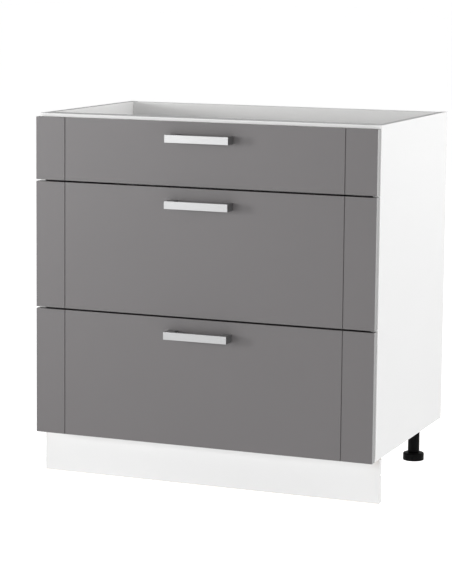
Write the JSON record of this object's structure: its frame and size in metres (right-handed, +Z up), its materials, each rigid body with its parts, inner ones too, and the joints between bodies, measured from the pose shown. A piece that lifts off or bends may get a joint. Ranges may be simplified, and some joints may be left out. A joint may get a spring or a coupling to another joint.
{
  "type": "kitchen base cabinet with drawers",
  "caption": "Open-topped kitchen base cabinet with full-width drawers on roller runners, bow handles, a clip-on plinth and levelling legs.",
  "frame": {"origin": "on the floor, under the middle of the overall box", "axes": "+X to the right as seen from the front, +Y towards the wall, +Z up; the drawers open towards -Y"},
  "size_m": [0.8, 0.552, 0.82],
  "materials": {
    "white_board": "white melamine-faced chipboard, fine low sheen",
    "white_hardboard": "white lacquered hardboard",
    "grey_front": "matt mid-grey foil on fibreboard",
    "satin_metal": "satin",
    "white_steel": "white epoxy coat",
    "zinc_steel": "bright zinc plate",
    "zinc_casting": "bare zinc casting",
    "beech": "raw beech",
    "black_plastic": "black moulded plastic",
    "nylon": "white nylon",
    "soft_pad": "soft translucent pad"
  },
  "bodies": {
    "root": {"side_panel_right": "white_board", "side_panel_left": "white_board", "bottom_panel": "white_board", "front_top_rail": "white_board", "rear_top_rail": "white_board", "back_panel": "white_hardboard", "cam_locks": "zinc_casting", "cam_bolts": "zinc_steel", "dowels": "beech", "carcass_screws": "zinc_steel", "front_bumpers": "soft_pad", "runners_right": "white_steel", "runners_left": "white_steel", "leg_sockets": "black_plastic", "leg_tubes": "black_plastic"},
    "drawer_bottom": {"front_bottom": "grey_front", "handle_bottom": "satin_metal", "handle_screws_bottom": "zinc_steel", "drawer_bottom_bottom": "white_board", "drawer_back_bottom": "white_board", "drawer_side_right_bottom": "white_steel", "drawer_side_left_bottom": "white_steel", "front_brackets_bottom": "white_steel", "drawer_screws_bottom": "zinc_steel"},
    "drawer_middle": {"front_middle": "grey_front", "handle_middle": "satin_metal", "handle_screws_middle": "zinc_steel", "drawer_bottom_middle": "white_board", "drawer_back_middle": "white_board", "drawer_side_right_middle": "white_steel", "drawer_side_left_middle": "white_steel", "front_brackets_middle": "white_steel", "drawer_screws_middle": "zinc_steel"},
    "drawer_top": {"front_top": "grey_front", "handle_top": "satin_metal", "handle_screws_top": "zinc_steel", "drawer_bottom_top": "white_board", "drawer_back_top": "white_board", "drawer_side_right_top": "white_steel", "drawer_side_left_top": "white_steel", "front_brackets_top": "white_steel", "drawer_screws_top": "zinc_steel"},
    "front_roller_right_bottom": {"front_roller_right_bottom": "nylon"},
    "front_roller_left_bottom": {"front_roller_left_bottom": "nylon"},
    "rear_roller_right_bottom": {"rear_roller_right_bottom": "nylon"},
    "rear_roller_left_bottom": {"rear_roller_left_bottom": "nylon"},
    "front_roller_right_middle": {"front_roller_right_middle": "nylon"},
    "front_roller_left_middle": {"front_roller_left_middle": "nylon"},
    "rear_roller_right_middle": {"rear_roller_right_middle": "nylon"},
    "rear_roller_left_middle": {"rear_roller_left_middle": "nylon"},
    "front_roller_right_top": {"front_roller_right_top": "nylon"},
    "front_roller_left_top": {"front_roller_left_top": "nylon"},
    "rear_roller_right_top": {"rear_roller_right_top": "nylon"},
    "rear_roller_left_top": {"rear_roller_left_top": "nylon"},
    "foot_front_right": {"foot_front_right": "black_plastic"},
    "foot_front_left": {"foot_front_left": "black_plastic"},
    "foot_rear_right": {"foot_rear_right": "black_plastic"},
    "foot_rear_left": {"foot_rear_left": "black_plastic"},
    "plinth": {"plinth_board": "white_board", "plinth_clips": "black_plastic"}
  },
  "joints": [
    {"name": "drawer_bottom_slide", "type": "slide", "parent": "root", "child": "drawer_bottom", "axis": [0, -1, 0], "range_m": [0, 0.35]},
    {"name": "drawer_middle_slide", "type": "slide", "parent": "root", "child": "drawer_middle", "axis": [0, -1, 0], "range_m": [0, 0.35]},
    {"name": "drawer_top_slide", "type": "slide", "parent": "root", "child": "drawer_top", "axis": [0, -1, 0], "range_m": [0, 0.35]},
    {"name": "front_roller_right_bottom_turn", "type": "hinge", "parent": "root", "child": "front_roller_right_bottom", "pos_m": [0.3774, -0.209, 0.1387], "axis": [1, 0, 0], "continuous": true},
    {"name": "front_roller_left_bottom_turn", "type": "hinge", "parent": "root", "child": "front_roller_left_bottom", "pos_m": [-0.3774, -0.209, 0.1387], "axis": [1, 0, 0], "continuous": true},
    {"name": "rear_roller_right_bottom_turn", "type": "hinge", "parent": "drawer_bottom", "child": "rear_roller_right_bottom", "pos_m": [0.3774, 0.202, 0.1365], "axis": [1, 0, 0], "continuous": true},
    {"name": "rear_roller_left_bottom_turn", "type": "hinge", "parent": "drawer_bottom", "child": "rear_roller_left_bottom", "pos_m": [-0.3774, 0.202, 0.1365], "axis": [1, 0, 0], "continuous": true},
    {"name": "front_roller_right_middle_turn", "type": "hinge", "parent": "root", "child": "front_roller_right_middle", "pos_m": [0.3774, -0.209, 0.4257], "axis": [1, 0, 0], "continuous": true},
    {"name": "front_roller_left_middle_turn", "type": "hinge", "parent": "root", "child": "front_roller_left_middle", "pos_m": [-0.3774, -0.209, 0.4257], "axis": [1, 0, 0], "continuous": true},
    {"name": "rear_roller_right_middle_turn", "type": "hinge", "parent": "drawer_middle", "child": "rear_roller_right_middle", "pos_m": [0.3774, 0.202, 0.4235], "axis": [1, 0, 0], "continuous": true},
    {"name": "rear_roller_left_middle_turn", "type": "hinge", "parent": "drawer_middle", "child": "rear_roller_left_middle", "pos_m": [-0.3774, 0.202, 0.4235], "axis": [1, 0, 0], "continuous": true},
    {"name": "front_roller_right_top_turn", "type": "hinge", "parent": "root", "child": "front_roller_right_top", "pos_m": [0.3774, -0.209, 0.7127], "axis": [1, 0, 0], "continuous": true},
    {"name": "front_roller_left_top_turn", "type": "hinge", "parent": "root", "child": "front_roller_left_top", "pos_m": [-0.3774, -0.209, 0.7127], "axis": [1, 0, 0], "continuous": true},
    {"name": "rear_roller_right_top_turn", "type": "hinge", "parent": "drawer_top", "child": "rear_roller_right_top", "pos_m": [0.3774, 0.202, 0.7105], "axis": [1, 0, 0], "continuous": true},
    {"name": "rear_roller_left_top_turn", "type": "hinge", "parent": "drawer_top", "child": "rear_roller_left_top", "pos_m": [-0.3774, 0.202, 0.7105], "axis": [1, 0, 0], "continuous": true},
    {"name": "foot_front_right_level", "type": "slide", "parent": "root", "child": "foot_front_right", "axis": [0, 0, -1], "range_m": [0, 0.02]},
    {"name": "foot_front_left_level", "type": "slide", "parent": "root", "child": "foot_front_left", "axis": [0, 0, -1], "range_m": [0, 0.02]},
    {"name": "foot_rear_right_level", "type": "slide", "parent": "root", "child": "foot_rear_right", "axis": [0, 0, -1], "range_m": [0, 0.02]},
    {"name": "foot_rear_left_level", "type": "slide", "parent": "root", "child": "foot_rear_left", "axis": [0, 0, -1], "range_m": [0, 0.02]},
    {"name": "plinth_pull", "type": "slide", "parent": "root", "child": "plinth", "axis": [0, -1, 0], "range_m": [0, 0.06]}
  ],
  "couplings": [
    {"joint": "front_roller_right_bottom_turn", "follows": "drawer_bottom_slide", "rad_per_m": 111.11},
    {"joint": "front_roller_left_bottom_turn", "follows": "drawer_bottom_slide", "rad_per_m": 111.11},
    {"joint": "rear_roller_right_bottom_turn", "follows": "drawer_bottom_slide", "rad_per_m": 111.11},
    {"joint": "rear_roller_left_bottom_turn", "follows": "drawer_bottom_slide", "rad_per_m": 111.11},
    {"joint": "front_roller_right_middle_turn", "follows": "drawer_middle_slide", "rad_per_m": 111.11},
    {"joint": "front_roller_left_middle_turn", "follows": "drawer_middle_slide", "rad_per_m": 111.11},
    {"joint": "rear_roller_right_middle_turn", "follows": "drawer_middle_slide", "rad_per_m": 111.11},
    {"joint": "rear_roller_left_middle_turn", "follows": "drawer_middle_slide", "rad_per_m": 111.11},
    {"joint": "front_roller_right_top_turn", "follows": "drawer_top_slide", "rad_per_m": 111.11},
    {"joint": "front_roller_left_top_turn", "follows": "drawer_top_slide", "rad_per_m": 111.11},
    {"joint": "rear_roller_right_top_turn", "follows": "drawer_top_slide", "rad_per_m": 111.11},
    {"joint": "rear_roller_left_top_turn", "follows": "drawer_top_slide", "rad_per_m": 111.11}
  ]
}
